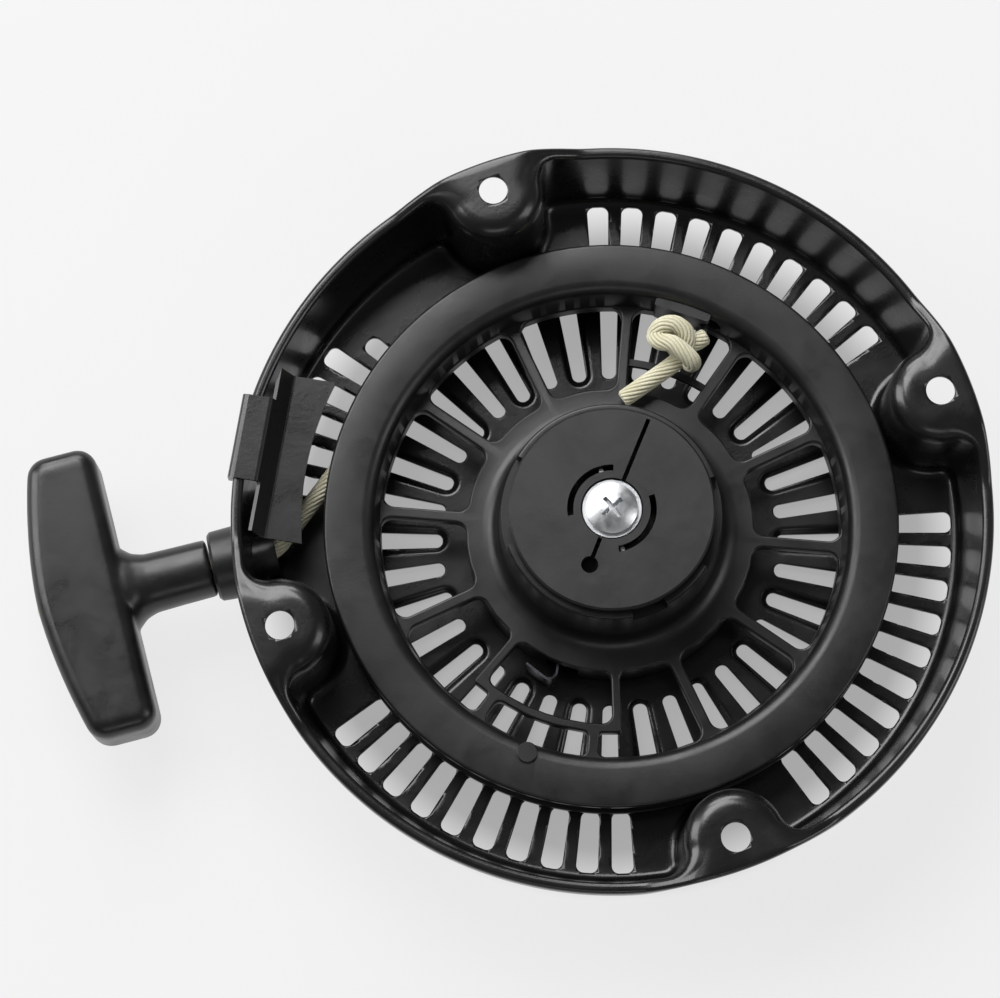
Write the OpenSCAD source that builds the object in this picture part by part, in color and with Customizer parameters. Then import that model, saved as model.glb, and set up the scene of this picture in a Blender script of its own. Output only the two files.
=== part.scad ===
// Recoil starter for a small engine, seen from the engine side.
// The origin is the centre of the bolt circle, in the plane where the four ears meet the engine.
// +Z points to the engine, so the pressed steel cover lies below the origin.

/* [Cover] */
// Diameter of the circle through the four mounting holes
bolt_circle_d = 180; // [178:0.5:184]
// Diameter of each mounting hole
bolt_hole_d = 7.5; // [6:0.1:9]
// Diameter over the rolled rim
rim_d = 196.6; // [196:0.2:200]
// Thickness of the pressed steel sheet
sheet_t = 1.2; // [1:0.1:1.4]
// How far the rim lies below the mounting plane
rim_drop = 6; // [5.5:0.1:6.5]
// Depth of the ring of outer vents below the mounting plane
vent_depth = 33; // [32.8:0.1:34]
// Depth of the nose, with the inner vents, below the mounting plane
nose_depth = 42.5; // [42.5:0.1:44]

/* [Reel] */
// Diameter of the rope reel over its flanges
reel_d = 150; // [149:0.2:150.4]
// Depth of the reel's upper face below the mounting plane
reel_top_depth = 17.2; // [17.2:0.1:17.6]
// Diameter of the post that the reel turns on
post_d = 13; // [12.6:0.1:13.2]

/* [Rope] */
// Diameter of the starter rope
rope_d = 4.6; // [4.2:0.1:4.7]
// Radius of the middle of the rope where it is wound on the reel
rope_r = 66.8; // [66.6:0.1:66.9]

/* [Handle] */
// Length of the T grip
grip_l = 77; // [70:0.5:84]
// Thickness of the T grip
grip_t = 21; // [19:0.5:22]
// Direction in which the handle is pulled, in the plane of the cover
pull_angle = 195; // [194:0.5:196]

/* [Hidden] */
$fn = 96;
eps = 0.01;            // overlap that makes a cut clean
run_gap = 0.05;        // radial clearance of a running fit
free_gap = 0.3;        // clearance between pieces that pass each other

// --- cover ---
ear_angles = [20, 110, 200, 290];
bolt_r = bolt_circle_d / 2;
rim_r = rim_d / 2;
half_t = sheet_t / 2;
wall_top_r = rim_r - 3.4;
wall_foot_r = wall_top_r - 2.8;
curl_drop = 4.2;       // height of the turned-down edge of the rim
step_r = 69;           // middle of the conical step between the nose and the vent ring
step_half_w = 2.5;
ear_r = 13.5;          // radius of an ear's boss around its hole
ear_round = 5.5;       // bend radius of the boss's top edge
ear_ramp = 13;         // length of the ramp from an ear's pad down to the rim
case_front_z = -nose_depth - sheet_t;
post_hole_r = 4;       // hole in the middle of the nose, closed by the foot of the post

// --- vents ---
outer_slot = [74, 90.2, 4.7, 5.8];    // inner end, outer end, inner width, outer width
short_slot_end = 83.5;
inner_slot = [44.6, 65.4, 3.7, 5.6];
outer_pitch = 6;
inner_pitch = 10;
group_size = 10;
group_angles = [65, 245, 335];
guard_group = [147 : 6 : 171];        // vents beside the rope guard
short_slot_angle = 141;
emboss = 1.7;          // width of the sunk border around every second inner vent
emboss_depth = 1;
emboss_wall = 0.6;     // how far the raised back of that border stands out past it

// --- reel: drum, web, ring and hub ---
reel_r = reel_d / 2;
reel_z = -reel_top_depth;
flange_t = 2.2;
groove_w = 10.2;
drum_r = rope_r - rope_d / 2 - 0.1;
drum_inner_r = 61;
drum_edge_round = 3;
nub = [64.6, 250.4, 2.8, 0.6];        // moulded nub: radius of its place, angle, own radius, height
anchor_angle = 71.6;   // middle of the thick flat that the rope passes through
anchor_w = 16;
anchor_near = 59.4;
anchor_drop = 4.5;     // how far the flat starts above the drum's lower face
rope_hole_angle = 64;
rope_hole_from = 48;
reel_bottom_z = reel_z - 2 * flange_t - groove_w;
web_z = -27.5;
web_t = reel_bottom_z - web_z + 0.6;
spoke_w = 2.8;
spoke_first = 25.4;
spoke_pitch = 30;
long_spokes = [0, 1, 2, 3, 4, 5, 6, 9, 10, 11];
short_spokes = [7, 8];
bridge_r = 53;
bridge_from = 229.7;
bridge_to = 271.8;
pocket_arc = [46, 1.8, 54, 87];       // low arc in the knot's pocket: radius, width, from, to
hub_r = 38;
hub_wall = 2.2;
hub_plate_t = 2.2;
spring_room_z = case_front_z + sheet_t + 1.2;
drum_hub_top_r = 28.3;
drum_hub_foot_r = 29.3;
drum_hub_wall = 2.6;
hub_flare = 4;
hub_top_z = -4.6;
pawl_floor_z = -9.7;
pawl_floor_t = 2.3;
sleeve_r = 9.2;
sleeve_rise = 1.4; // how far the sleeve's upper end stands above the ratchets' floor
ratchet_window = [-38, 12];           // opening for a ratchet, in degrees from its tip at rest
spring_notch = [243.6, 257];

// --- post ---
post_r = post_d / 2;
post_foot_r = post_r + 1.5;
post_flange_r = 12;
post_flange_t = 1;
shoulder_z = web_z - hub_plate_t - 0.2;
neck_r = 5;
neck_z = -5.3;
post_top_z = -3.3;
screw_r = 3;

// --- ratchets and their guide ---
pawl_t = 4.3;
pawl_z = pawl_floor_z + free_gap;
pawl_top_z = pawl_z + pawl_t;
pin_r = 2.5;
pin_orbit = 17;
pawl_tip_angle = 7;
pin_angle = pawl_tip_angle - 57;
pawl_swing = 27;       // how far a ratchet swings out, in degrees
guide_swing = 30;      // how far the guide turns on the reel while it swings them
cam_r = 1.3;
cam_h = 1.2;
cam_place = [5.5, 8];  // the cam stud's place on a ratchet, from its pin, with the reel's axes
guide_r = 26.5;
guide_top_z = -1.7;
guide_bottom_z = -4.3;
guide_recess_r = 8;
guide_web_z = -5;
guide_web_top_z = -3.6;
washer_t = 0.9;
washer_r = 7.6;
head_r = 6.6;
friction_wire_r = 0.6;
friction_z = -6.2;

// --- spiral spring ---
spring_t = 0.6;
spring_w = 10.6;
spring_z = spring_room_z + 0.2;
spring_turns = 9;
spring_start_r = post_foot_r + 1;
spring_end_r = hub_r - hub_wall - 1.4;
spring_angle = 247;    // where the outer end leaves the spring room

// --- rope ---
rope_z = reel_z - flange_t - groove_w / 2;
wound_step = rope_d + 0.2;
rope_leave_angle = 233.6;             // direction of the rope as it leaves the reel
handle_start = [-104.1, -11];         // where the handle meets the rope guide
guide_angle = 193;                    // direction of the rope guide's own axis
guide_len = 17;
guide_hole_r = 5.5;
rope_bend_r = 7.6;                    // bend of the rope where it turns into the guide
knot_angle = 70.6;
knot_r = 51.4;
knot_z = -22;

// --- handle ---
grip_near = 22.8;      // start of the T bar along the pull direction
grip_end = 42;         // outer face at the ends of the bar
grip_mid = 48;         // outer face at the middle of the bar
grip_round = 7;
stem_r = 7.5;
rope_hole_r = rope_d / 2 + 0.35;
knot_room_r = 7.2;
knot_room_from = 38;
knot_washer_r = 6.6;
knot_washer_t = 1.2;

// --- outlines ---
function unit(v) = v / norm(v);
function arc(c, r, a0, a1, n) = [for (i = [0 : n]) let (a = a0 + (a1 - a0) * i / n) c + r * [cos(a), sin(a)]];
function turn(a, b) = let (d = (b - a) % 360) d > 180 ? d - 360 : d < -180 ? d + 360 : d;

// The arc that rounds the corner b of the path a, b, c
function corner_arc(a, b, c, r, n) =
    let (
        u = unit(a - b),
        v = unit(c - b),
        half = acos(u * v) / 2,
        centre = b + unit(u + v) * r / sin(half),
        start = b + u * r / tan(half) - centre,
        end = b + v * r / tan(half) - centre,
        a0 = atan2(start.y, start.x)
    )
    arc(centre, r, a0, a0 + turn(a0, atan2(end.y, end.x)), n);

// An open path with its inner corners rounded by the radii in r
function round_path(p, r, n = 5) = [
    p[0],
    for (i = [1 : len(p) - 2]) each corner_arc(p[i - 1], p[i], p[i + 1], r[i - 1], n),
    p[len(p) - 1]
];

// A closed outline with every corner rounded by the radii in r
function round_outline(p, r, n = 4) =
    let (m = len(p))
    [for (i = [0 : m - 1]) each corner_arc(p[(i + m - 1) % m], p[i], p[(i + 1) % m], r[i], n)];

// The unit vector square to the path p at its point i
function side(p, i) =
    let (d = unit(p[min(i + 1, len(p) - 1)] - p[max(i - 1, 0)])) [-d.y, d.x];

// A strip of thickness t along the path p
function ribbon(p, t) = concat(
    [for (i = [0 : len(p) - 1]) p[i] + side(p, i) * t / 2],
    [for (i = [len(p) - 1 : -1 : 0]) p[i] - side(p, i) * t / 2]
);

// A radial slot, wider outside than inside, grown by g on every side
function slot_outline(s, g = 0) =
    let (near = s[0] - g, far = s[1] + g, n = s[2] / 2 + g, f = s[3] / 2 + g)
    round_outline([[near, -n], [far, -f], [far, f], [near, n]], [n * 0.95, f * 0.6, f * 0.6, n * 0.95]);

// --- small helpers ---
module at_polar(r, angle, z = 0) {
    rotate([0, 0, angle])
        translate([r, 0, z])
            children();
}

module tube(outer, inner, z0, z1) {
    translate([0, 0, z0])
        difference() {
            cylinder(r = outer, h = z1 - z0);
            translate([0, 0, -eps])
                cylinder(r = inner, h = z1 - z0 + 2 * eps);
        }
}

// A prism of an outline in the XY plane between two heights
module prism(points, z0, z1) {
    translate([0, 0, z0])
        linear_extrude(height = z1 - z0)
            polygon(points);
}

// A rope of radius r swept along the points p, as one closed solid
module rope(p, r, sides = 10) {
    rings = len(p);
    points = [
        for (i = [0 : rings - 1])
            let (
                t = unit(p[min(i + 1, rings - 1)] - p[max(i - 1, 0)]),
                u = unit(cross(t, abs(t.z) > 0.9 ? [1, 0, 0] : [0, 0, 1])),
                v = cross(t, u)
            )
            for (k = [0 : sides - 1]) p[i] + r * (cos(k * 360 / sides) * u + sin(k * 360 / sides) * v)
    ];
    faces = concat(
        [[for (k = [0 : sides - 1]) k]],
        [[for (k = [sides - 1 : -1 : 0]) (rings - 1) * sides + k]],
        [for (i = [0 : rings - 2]) for (k = [0 : sides - 1])
            let (a = i * sides + k, b = i * sides + (k + 1) % sides) [a, a + sides, b + sides, b]]
    );
    polyhedron(points = points, faces = faces, convexity = 6);
}

// Puts its children in the frame of the handle: X along the pull direction, Z across the cover
module in_handle() {
    translate([handle_start.x, handle_start.y, rope_z])
        rotate([0, 0, pull_angle])
            children();
}

// Puts its children in the frame of the rope guide, whose outer mouth is at the origin
module in_guide() {
    translate([handle_start.x, handle_start.y, rope_z])
        rotate([0, 0, guide_angle])
            rotate([0, 90, 0])
                children();
}

// --- pressed steel cover ---
module dish() {
    profile = round_path(
        [
            [post_hole_r, -nose_depth - half_t],
            [step_r - step_half_w, -nose_depth - half_t],
            [step_r + step_half_w, -vent_depth - half_t],
            [wall_foot_r, -vent_depth - half_t],
            [wall_top_r, -rim_drop - half_t],
            [rim_r - half_t, -rim_drop - half_t],
            [rim_r - half_t, -rim_drop - curl_drop]
        ],
        [2.5, 2.5, 3, 1.2, 1.4]
    );
    rotate_extrude()
        polygon(ribbon(profile, sheet_t));
}

// The space that an ear's boss takes out of the dish
module ear_bite() {
    translate([bolt_r, 0, case_front_z - 1]) {
        cylinder(r = ear_r - half_t, h = nose_depth + 4);
        translate([0, half_t - ear_r, 0])
            cube([ear_r, 2 * ear_r - sheet_t, nose_depth + 4]);
    }
}

module ear_shell() {
    side_x = ear_r - half_t;
    profile = ribbon(
        round_path([[0, -half_t], [side_x, -half_t], [side_x, -vent_depth - sheet_t]], [ear_round]),
        sheet_t
    );
    intersection() {
        translate([bolt_r, 0, 0]) {
            rotate([0, 0, 90])
                rotate_extrude(angle = 180)
                    polygon(profile);
            for (flip = [0, 1])
                mirror([0, flip, 0])
                    rotate([90, 0, 90])
                        linear_extrude(height = ear_r)
                            polygon(profile);
        }
        wall_envelope();
    }
}

// Everything within the outer face of the wall, and within the rim above it
module wall_envelope() {
    low = -vent_depth - sheet_t;
    high = -rim_drop - 2;
    translate([0, 0, low])
        cylinder(r1 = wall_foot_r + half_t, r2 = wall_top_r + half_t, h = high - low);
    translate([0, 0, high - eps])
        cylinder(r = rim_r, h = 1 - high);
}

// The sloped web that leads from an ear's pad down to the rim on each side
module ear_ramps() {
    near = ear_r - ear_round;
    far = ear_r + ear_ramp;
    low = -rim_drop - sheet_t;
    intersection() {
        tube(rim_r, wall_top_r - half_t, low, 0);
        for (flip = [0, 1])
            mirror([0, flip, 0])
                translate([bolt_r - 10, 0, 0])
                    rotate([90, 0, 90])
                        linear_extrude(height = 20)
                            polygon([[near, 0], [near + 5, 0], [far, -rim_drop], [far, low], [near, low]]);
    }
}

module outer_slots() {
    cut = slot_outline(outer_slot);
    angles = concat(
        [
            for (g = group_angles)
                for (i = [0 : group_size - 1]) g + (i - (group_size - 1) / 2) * outer_pitch
        ],
        [each guard_group]
    );
    z0 = -vent_depth - 4;
    z1 = -vent_depth + 4;
    for (a = angles)
        rotate([0, 0, a])
            prism(cut, z0, z1);
    rotate([0, 0, short_slot_angle])
        prism(slot_outline([outer_slot[0], short_slot_end, outer_slot[2], 5.2]), z0, z1);
}

module inner_slots(grow, z0, z1, step) {
    for (a = [0 : step : 359])
        rotate([0, 0, a])
            prism(slot_outline(inner_slot, grow), z0, z1);
}

module case() {
    front_z = case_front_z;
    back_grow = emboss + emboss_wall;
    color([0.06, 0.06, 0.065])
        difference() {
            union() {
                difference() {
                    union() {
                        dish();
                        for (a = ear_angles)
                            rotate([0, 0, a])
                                ear_ramps();
                        inner_slots(back_grow, front_z - emboss_depth, front_z + half_t, 2 * inner_pitch);
                    }
                    for (a = ear_angles)
                        rotate([0, 0, a])
                            ear_bite();
                }
                for (a = ear_angles)
                    rotate([0, 0, a])
                        ear_shell();
            }
            inner_slots(emboss, -nose_depth - emboss_depth, -nose_depth + 1, 2 * inner_pitch);
            inner_slots(0, front_z - emboss_depth - 1, -nose_depth + 1, inner_pitch);
            outer_slots();
            for (a = ear_angles)
                at_polar(bolt_r, a, -3)
                    cylinder(d = bolt_hole_d, h = 6);
            in_guide()
                translate([0, 0, -guide_len])
                    cylinder(r = guide_hole_r, h = guide_len);
        }
}

// --- post in the middle of the cover ---
module center_post() {
    floor_z = -nose_depth;
    rivet_r = post_hole_r - run_gap;
    slot_w = spring_t + 1;
    color([0.62, 0.62, 0.64])
        difference() {
            rotate_extrude()
                polygon([
                    [screw_r, case_front_z], [rivet_r, case_front_z], [rivet_r, floor_z],
                    [post_flange_r, floor_z], [post_flange_r, floor_z + post_flange_t],
                    [post_foot_r, floor_z + post_flange_t], [post_foot_r, shoulder_z], [post_r, shoulder_z],
                    [post_r, neck_z], [neck_r, neck_z], [neck_r, post_top_z], [screw_r, post_top_z]
                ]);
            translate([0, -slot_w / 2, floor_z + post_flange_t])
                cube([post_flange_r, slot_w, spring_w + 0.8]);
        }
}

// --- bush that leads the rope out through the wall ---
module rope_guide() {
    mouth_r = 3;
    body_r = guide_hole_r - run_gap;
    collar_r = 9.2;
    collar_base_r = 9.6;
    collar_start = -8.2;
    lip = 1.6;
    bell = 2.2;
    color([0.05, 0.05, 0.055])
        in_guide()
            rotate_extrude()
                polygon(concat(
                    [[mouth_r, -guide_len + bell], [mouth_r, -lip]],
                    arc([mouth_r + lip, -lip], lip, 180, 90, 4),
                    [[collar_r - 0.8, 0], [collar_r, -0.8], [collar_base_r, collar_start]],
                    [[body_r, collar_start], [body_r, -guide_len]],
                    arc([mouth_r + bell, -guide_len + bell], bell, 270, 180, 5)
                ));
}

// --- formed bracket that keeps the rope in its place beside the reel ---
module guard_strip(profile, from, to) {
    translate([0, -from, 0])
        rotate([90, 0, 0])
            linear_extrude(height = to - from)
                polygon(ribbon(profile, 1));
}

module rope_guard() {
    angle = 170.7;
    inner_r = 80.5;                       // arc that ends the plate beside the reel
    plate_z = -14;
    fold = 88.3;
    web_top = [91.2, -6.9];
    over_z = -rim_drop + 0.55;
    lip = [rim_r + 0.65, -10.5];          // face and lower edge of the lip outside the rim
    plate_profile = round_path([[inner_r - 6, plate_z], [fold, plate_z], web_top], [1.2]);
    hook_profile = round_path([web_top - [0.4, 0.95], [91.8, over_z], [lip.x, over_z], lip], [0.8, 1.3]);
    color([0.06, 0.06, 0.065])
        rotate([0, 0, angle])
            difference() {
                union() {
                    intersection() {
                        guard_strip(plate_profile, -19.8, 24);
                        translate([0, 0, plate_z - 1])
                            cylinder(r = wall_top_r - 1.1, h = 10);
                    }
                    guard_strip(hook_profile, -7, 15.3);
                }
                translate([0, 0, plate_z - 1])
                    cylinder(r = inner_r, h = 5);
            }
}

// --- spiral return spring ---
module spiral_spring() {
    step = 15;
    sweep = spring_turns * 360 + spring_angle;
    count = sweep / step;
    coil = [
        for (i = [1 : count])
            let (a = i * step, r = spring_start_r + (spring_end_r - spring_start_r) * i / count)
            r * [cos(a), sin(a)]
    ];
    hook = concat(
        [36.8 * [cos(248.2), sin(248.2)], 38.6 * [cos(249), sin(249)]],
        arc(40.6 * [cos(246.6), sin(246.6)], 2.1, 0, -130, 7),
        [41.6 * [cos(238), sin(238)]]
    );
    color([0.30, 0.31, 0.33])
        translate([0, 0, spring_z])
            linear_extrude(height = spring_w)
                polygon(ribbon(concat(coil, hook), spring_t));
}

// --- rope reel: one moulding, here in four abutting pieces ---
module reel_drum() {
    top = reel_z;
    low = reel_bottom_z;
    edge = drum_edge_round;
    lean = 1;
    color([0.10, 0.10, 0.105])
        difference() {
            union() {
                rotate_extrude()
                    polygon(concat(
                        [[drum_inner_r, low], [reel_r, low], [reel_r, low + flange_t]],
                        [[drum_r, low + flange_t], [drum_r, top - flange_t]],
                        [[reel_r, top - flange_t], [reel_r, top]],
                        arc([drum_inner_r + lean + edge, top - edge], edge, 90, 180, 6)
                    ));
                at_polar(nub[0], nub[1], top - 1)
                    cylinder(r = nub[2], h = 1 + nub[3]);
                rope_anchor();
            }
            at_polar(rope_hole_from, rope_hole_angle, rope_z)
                rotate([0, 90, 0])
                    cylinder(r = rope_hole_r, h = drum_r + 2 - rope_hole_from);
        }
}

// Thickened flat in the drum's inner wall, where the rope passes through to its knot
module rope_anchor() {
    intersection() {
        translate([0, 0, reel_bottom_z])
            cylinder(r = drum_r - 1, h = groove_w + flange_t);
        rotate([0, 0, anchor_angle])
            translate([anchor_near, -anchor_w / 2, reel_bottom_z + anchor_drop])
                cube([anchor_w / 2, anchor_w, groove_w + flange_t - anchor_drop]);
    }
}

module spoke(angle, from, to) {
    rotate([0, 0, angle])
        translate([from, -spoke_w / 2, web_z + web_t])
            cube([to - from, spoke_w, -web_t]);
}

module web_arc(r, w, from, to, z0, z1) {
    rotate([0, 0, from])
        rotate_extrude(angle = to - from)
            translate([r - w / 2, z0])
                square([w, z1 - z0]);
}

module reel_web() {
    low = web_z + web_t;
    color([0.10, 0.10, 0.105])
        intersection() {
            union() {
                for (i = long_spokes)
                    spoke(spoke_first + i * spoke_pitch, hub_r - 2, drum_inner_r + 2);
                for (i = short_spokes)
                    spoke(spoke_first + i * spoke_pitch, bridge_r, drum_inner_r + 2);
                for (a = [bridge_from, bridge_to])
                    spoke(a, hub_r - 2, bridge_r + 1);
                web_arc(bridge_r, 2.2, bridge_from, bridge_to, low, web_z);
                web_arc(pocket_arc[0], pocket_arc[1], pocket_arc[2], pocket_arc[3], low + 0.2, low + 2.2);
            }
            tube(drum_inner_r - eps, hub_r + eps, low - 1, web_z + 1);
        }
}

// Ring that carries the spokes, with the wall of the spring room below it
module reel_ring() {
    flare = arc([drum_hub_foot_r + hub_flare, web_z + hub_flare], hub_flare, 180, 270, 6);
    plate_z = web_z - hub_plate_t;
    notch_sweep = spring_notch[1] - spring_notch[0];
    color([0.10, 0.10, 0.105])
        difference() {
            rotate_extrude()
                polygon(concat(
                    flare,
                    [[hub_r, web_z], [hub_r, spring_room_z], [hub_r - hub_wall, spring_room_z]],
                    [[hub_r - hub_wall, plate_z], [drum_hub_foot_r, plate_z]]
                ));
            rotate([0, 0, spring_notch[0]])
                rotate_extrude(angle = notch_sweep)
                    translate([hub_r - hub_wall - 0.6, spring_room_z - 1])
                        square([hub_wall + 2, web_z - spring_room_z + 2]);
        }
}

// Cup round the post, with the floor and pins for the ratchets and the sleeve that turns on the post
module reel_hub() {
    inner_r = drum_hub_foot_r - drum_hub_wall;
    plate_z = web_z - hub_plate_t;
    floor_low_z = pawl_floor_z - pawl_floor_t;
    bore_r = post_r + run_gap;
    pin_top_z = guide_bottom_z - free_gap;
    sill_z = pawl_floor_z - free_gap;
    sink = 0.5;
    color([0.10, 0.10, 0.105])
        difference() {
            union() {
                rotate_extrude()
                    polygon([
                        [drum_hub_top_r - drum_hub_wall, hub_top_z], [drum_hub_top_r, hub_top_z],
                        [drum_hub_foot_r, web_z + hub_flare], [drum_hub_foot_r, plate_z],
                        [inner_r, plate_z], [inner_r, floor_low_z], [sleeve_r, floor_low_z],
                        [sleeve_r, plate_z], [bore_r, plate_z], [bore_r, pawl_floor_z + sleeve_rise],
                        [sleeve_r, pawl_floor_z + sleeve_rise], [sleeve_r, pawl_floor_z],
                        [drum_hub_top_r - drum_hub_wall, pawl_floor_z]
                    ]);
                for (k = [0, 180])
                    at_polar(pin_orbit, pin_angle + k, pawl_floor_z - sink)
                        cylinder(r = pin_r, h = pin_top_z - pawl_floor_z + sink);
            }
            for (k = [0, 180])
                rotate([0, 0, pawl_tip_angle + k + ratchet_window[0]])
                    rotate_extrude(angle = ratchet_window[1] - ratchet_window[0])
                        translate([drum_hub_top_r - drum_hub_wall - 1, sill_z])
                            square([6, hub_top_z - sill_z + 1]);
        }
}

// --- ratchets ---
function pawl_outline() = round_outline(
    [[-4.2, -3.4], [3.4, -3.9], [14.4, 13.2], [15.6, 16.6], [12.6, 16.2], [3.4, 10.5], [-3.8, 3.4]],
    [3, 3, 2, 0.5, 1, 4, 3]
);

module ratchet(angle) {
    color([0.72, 0.73, 0.75])
        rotate([0, 0, angle])
            at_polar(pin_orbit, pin_angle)
                rotate([0, 0, -pin_angle])
                    difference() {
                        union() {
                            prism(pawl_outline(), pawl_z, pawl_top_z);
                            translate([cam_place.x, cam_place.y, pawl_top_z - 0.5])
                                cylinder(r = cam_r, h = cam_h + 0.5);
                        }
                        translate([0, 0, pawl_z - 1])
                            cylinder(r = pin_r + run_gap, h = pawl_t + 2);
                    }
}

module ratchet_a() {
    ratchet(0);
}

module ratchet_b() {
    ratchet(180);
}

// --- friction spring and ratchet guide ---
module friction_spring() {
    ring_r = post_r + run_gap + friction_wire_r;
    leg_r = 10.6;
    color([0.75, 0.76, 0.78])
        for (k = [0, 180])
            rotate([0, 0, k + 105]) {
                translate([0, 0, friction_z])
                    rotate_extrude(angle = 150)
                        translate([ring_r, 0])
                            circle(r = friction_wire_r, $fn = 24);
                translate([ring_r, 0, friction_z])
                    rotate([0, 90, 0])
                        cylinder(r = friction_wire_r, h = leg_r - ring_r, $fn = 24);
                translate([leg_r, 0, friction_z - friction_wire_r])
                    cylinder(r = friction_wire_r, h = guide_bottom_z + 1.2 - friction_z, $fn = 24);
            }
}

function turned(p, a) = [p.x * cos(a) - p.y * sin(a), p.x * sin(a) + p.y * cos(a)];

// Where a ratchet's cam stud lies in the guide's own frame, after a part t of its swing
function cam_at(t) =
    let (pin = pin_orbit * [cos(pin_angle), sin(pin_angle)])
    turned(pin + turned(cam_place, -pawl_swing * t), guide_swing * t);

module ratchet_guide() {
    cam_steps = 8;
    track = [for (i = [0 : cam_steps]) cam_at(i / cam_steps)];
    track_r = cam_r + free_gap;
    track_top = guide_bottom_z + cam_h + 0.2;
    arc_slots = [[88, 190], [279, 379]];
    arc_slot_r = 10.7;
    arc_slot_w = 1.6;
    slit_w = 1.1;
    slit_near = guide_recess_r - 1;
    slit_angle = 68;
    slit_end = 25.3;
    keyhole_angle = 248.7;
    keyhole_at = 15.8;
    keyhole_r = 2.2;
    below = guide_web_z - 1;
    above = guide_top_z + 1;
    color([0.10, 0.10, 0.105])
        difference() {
            rotate_extrude()
                polygon([
                    [neck_r + run_gap, guide_web_z], [guide_recess_r + 1, guide_web_z],
                    [guide_recess_r + 1, guide_bottom_z], [guide_r, guide_bottom_z],
                    [guide_r, guide_top_z - 0.5], [guide_r - 0.5, guide_top_z],
                    [guide_recess_r, guide_top_z], [guide_recess_r, guide_web_top_z],
                    [neck_r + run_gap, guide_web_top_z]
                ]);
            for (k = [0, 180])
                rotate([0, 0, k]) {
                    prism(ribbon(track, 2 * track_r), guide_bottom_z - 1, track_top);
                    for (p = [track[0], track[cam_steps]])
                        translate([p.x, p.y, guide_bottom_z - 1])
                            cylinder(r = track_r, h = track_top - guide_bottom_z + 1);
                }
            for (s = arc_slots)
                web_arc(arc_slot_r, arc_slot_w, s[0], s[1], below, above);
            for (s = [[slit_angle, slit_end], [keyhole_angle, keyhole_at]])
                rotate([0, 0, s[0]])
                    translate([slit_near, -slit_w / 2, below])
                        cube([s[1] - slit_near, slit_w, above - below]);
            at_polar(keyhole_at, keyhole_angle, below)
                cylinder(r = keyhole_r, h = above - below);
        }
}

// --- washer and screw that hold the guide down ---
module screw_washer() {
    color([0.75, 0.76, 0.78])
        tube(washer_r, screw_r + 0.1, post_top_z, post_top_z + washer_t);
}

module guide_screw() {
    seat = post_top_z + washer_t;
    head_h = 2.9;
    dome_r = 14;
    shank_l = 16;
    cross_angle = 40;
    cross = [6.4, 1.2];
    cross_depth = 2;
    color([0.80, 0.81, 0.83])
        difference() {
            union() {
                translate([0, 0, seat - shank_l])
                    cylinder(r = screw_r - run_gap, h = shank_l);
                intersection() {
                    translate([0, 0, seat])
                        cylinder(r = head_r, h = head_h);
                    translate([0, 0, seat + head_h - dome_r])
                        sphere(r = dome_r);
                }
            }
            for (a = [0, 90])
                rotate([0, 0, a + cross_angle])
                    translate([-cross.x / 2, -cross.y / 2, seat + head_h - cross_depth])
                        cube([cross.x, cross.y, cross_depth + 1]);
        }
}

// --- rope ---
module rope_wound() {
    color([0.87, 0.84, 0.72])
        for (side = [-1, 1])
            rotate_extrude()
                translate([rope_r, rope_z + side * wound_step / 2])
                    circle(r = rope_d / 2, $fn = 32);
}

// The overhand knot that stops the rope inside the reel
module reel_knot() {
    color([0.87, 0.84, 0.72])
        at_polar(knot_r, knot_angle, knot_z) {
            rotate([20, 20, 0])
                rotate_extrude()
                    translate([3.1, 0])
                        circle(r = rope_d / 2, $fn = 32);
            sphere(r = 3.2, $fn = 48);
            rotate([0, 0, -25])
                translate([2, -3, 0])
                    rotate([0, 80, 0])
                        cylinder(r = rope_d / 2, h = 4.6, $fn = 32);
        }
}

// The cut end of the rope, from the knot to the top of the ring round the hub
module rope_tail() {
    from = [14.2, 42.6, knot_z];
    reach = [-8.2, -8, -2.2];
    rise = 1.2;
    path = [for (t = [0 : 0.25 : 1]) from + t * reach + [0, rise * sin(180 * t), 0]];
    color([0.87, 0.84, 0.72])
        rope(path, rope_d / 2);
}

// From just clear of the wound turns, straight to the rope guide and round into it
module rope_run() {
    leave = [cos(rope_leave_angle), sin(rope_leave_angle)];
    pull = [cos(pull_angle), sin(pull_angle)];
    clear_r = rope_r + rope_d + free_gap;
    tangent_point = rope_r * [leave.y, -leave.x];
    start = tangent_point + leave * sqrt(clear_r * clear_r - rope_r * rope_r);
    across = [-pull.y, pull.x];
    corner = start + leave * ((handle_start - start) * across) / (leave * across);
    path = round_path([start, corner, handle_start - 0.6 * pull], [rope_bend_r], 8);
    color([0.87, 0.84, 0.72])
        rope([for (p = path) [p.x, p.y, rope_z]], rope_d / 2);
}

module handle_rope() {
    color([0.87, 0.84, 0.72])
        in_handle()
            rotate([0, 90, 0])
                cylinder(r = rope_d / 2, h = knot_room_from + knot_washer_t + 0.2, $fn = 32);
}

module handle_knot() {
    color([0.87, 0.84, 0.72])
        in_handle()
            translate([knot_room_from + knot_washer_t + 4.2, 0, 0]) {
                sphere(r = 3.9, $fn = 48);
                rotate([0, 90, 0])
                    rotate_extrude()
                        translate([3, 0])
                            circle(r = rope_d / 2, $fn = 32);
            }
}

// --- handle ---
module knot_washer() {
    color([0.70, 0.71, 0.73])
        in_handle()
            rotate([0, 90, 0])
                tube(knot_washer_r, rope_hole_r, knot_room_from, knot_room_from + knot_washer_t);
}

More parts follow.
